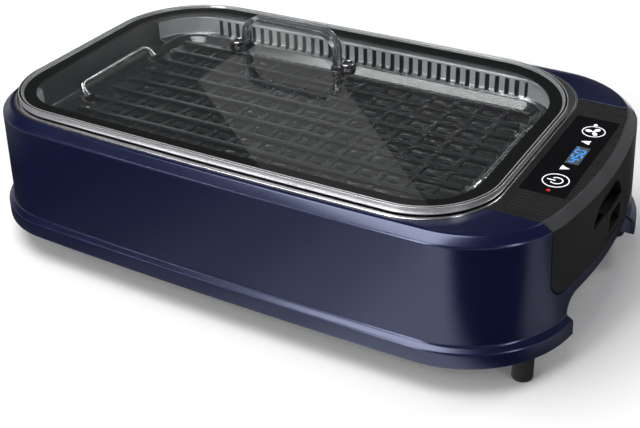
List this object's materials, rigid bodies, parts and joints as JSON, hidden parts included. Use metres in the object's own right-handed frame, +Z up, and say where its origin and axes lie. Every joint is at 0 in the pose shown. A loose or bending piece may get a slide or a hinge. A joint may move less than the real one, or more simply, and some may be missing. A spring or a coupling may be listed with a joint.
{
  "type": "electric indoor grill with lid",
  "caption": "Countertop electric grill: oval-cornered base with lift-off glass lid, ribbed grill plate, drip tray, heating element and a removable control module with fan.",
  "frame": {"origin": "centre of the footprint's bounding box, on the surface the feet stand on", "axes": "+X towards the control module, +Y towards the back, +Z up"},
  "size_m": [0.5236, 0.3194, 0.1635],
  "materials": {
    "navy_shell": "satin navy, slightly metallic",
    "black_plastic": "fine matt black",
    "cover_black": "matt black",
    "foot_rubber": "matt",
    "screw_steel": "zinc plated",
    "stainless": "bright rolled stainless steel",
    "tub_enamel": "dark heat-proof coat",
    "shield_alu": "mill finish",
    "ceramic": "white ceramic look",
    "copper_alloy": "bare",
    "wire_red": "insulated wire",
    "lid_clear": "clear tempered glass",
    "gasket_black": "matt silicone",
    "handle_smoke": "smoky glossy plastic",
    "plate_coat": "dark non-stick coat",
    "bar_steel": "polished wire",
    "element_sheath": "dark oxidised sheath",
    "tray_alu": "satin",
    "module_dark": "dark grey, matt",
    "module_trim": "mid grey, satin",
    "panel_black": "black touch glass",
    "lcd": "lit display",
    "icon_white": "white print",
    "led_red": "indicator lamp",
    "pcb_green": "circuit board",
    "part_grey": "components",
    "connector_ivory": "heat-proof plastic",
    "motor_steel": "motor can",
    "fan_grey": "fan wheel"
  },
  "bodies": {
    "base": {"base_housing": "navy_shell", "bottom_cover": "cover_black", "cover_screws": "screw_steel", "feet": "foot_rubber", "foot_screws": "screw_steel", "trim_ring": "stainless", "inner_tub": "tub_enamel", "smoke_guard_back": "stainless", "smoke_guard_front": "stainless", "heat_shield": "shield_alu", "element_socket": "ceramic", "module_cradle": "black_plastic", "base_connector": "connector_ivory", "base_contacts": "copper_alloy", "base_wiring": "wire_red"},
    "lid": {"lid_glass": "lid_clear", "lid_frame": "stainless", "lid_gasket": "gasket_black", "lid_handle": "handle_smoke", "handle_caps": "bar_steel", "handle_screws": "screw_steel", "handle_washers": "gasket_black"},
    "plate": {"grill_plate": "plate_coat", "plate_handles": "bar_steel"},
    "element": {"heating_element": "element_sheath", "element_straps": "screw_steel", "element_clips": "screw_steel"},
    "tray": {"drip_tray": "tray_alu"},
    "module": {"module_housing": "module_dark", "module_band": "module_trim", "module_top": "module_dark", "module_screws": "screw_steel", "touch_glass": "panel_black", "display": "lcd", "panel_icons": "icon_white", "status_led": "led_red", "control_board": "pcb_green", "board_parts": "part_grey", "power_inlet": "black_plastic", "inlet_pins": "bar_steel", "module_connector": "connector_ivory", "fan_casing": "black_plastic", "fan_grille": "black_plastic", "fan_motor": "motor_steel"},
    "fan": {"fan_wheel": "fan_grey", "fan_shaft": "screw_steel"}
  },
  "joints": [
    {"name": "lid_lift", "type": "slide", "parent": "base", "child": "lid", "axis": [0, 0, 1], "range_m": [0, 0.4]},
    {"name": "plate_lift", "type": "slide", "parent": "base", "child": "plate", "axis": [0, 0, 1], "range_m": [0, 0.3]},
    {"name": "element_lift", "type": "slide", "parent": "base", "child": "element", "axis": [0, 0, 1], "range_m": [0, 0.2]},
    {"name": "tray_lift", "type": "slide", "parent": "base", "child": "tray", "axis": [0, 0, 1], "range_m": [0, 0.1]},
    {"name": "module_lift", "type": "slide", "parent": "base", "child": "module", "axis": [0, 0, 1], "range_m": [0, 0.2]},
    {"name": "fan_spin", "type": "hinge", "parent": "module", "child": "fan", "pos_m": [0.22317, 0.057, 0.0874], "axis": [1, 0, 0], "continuous": true}
  ],
  "couplings": [
    {"joint": "plate_lift", "follows": "lid_lift", "ratio": 0.75},
    {"joint": "element_lift", "follows": "lid_lift", "ratio": 0.5},
    {"joint": "tray_lift", "follows": "lid_lift", "ratio": 0.25}
  ]
}
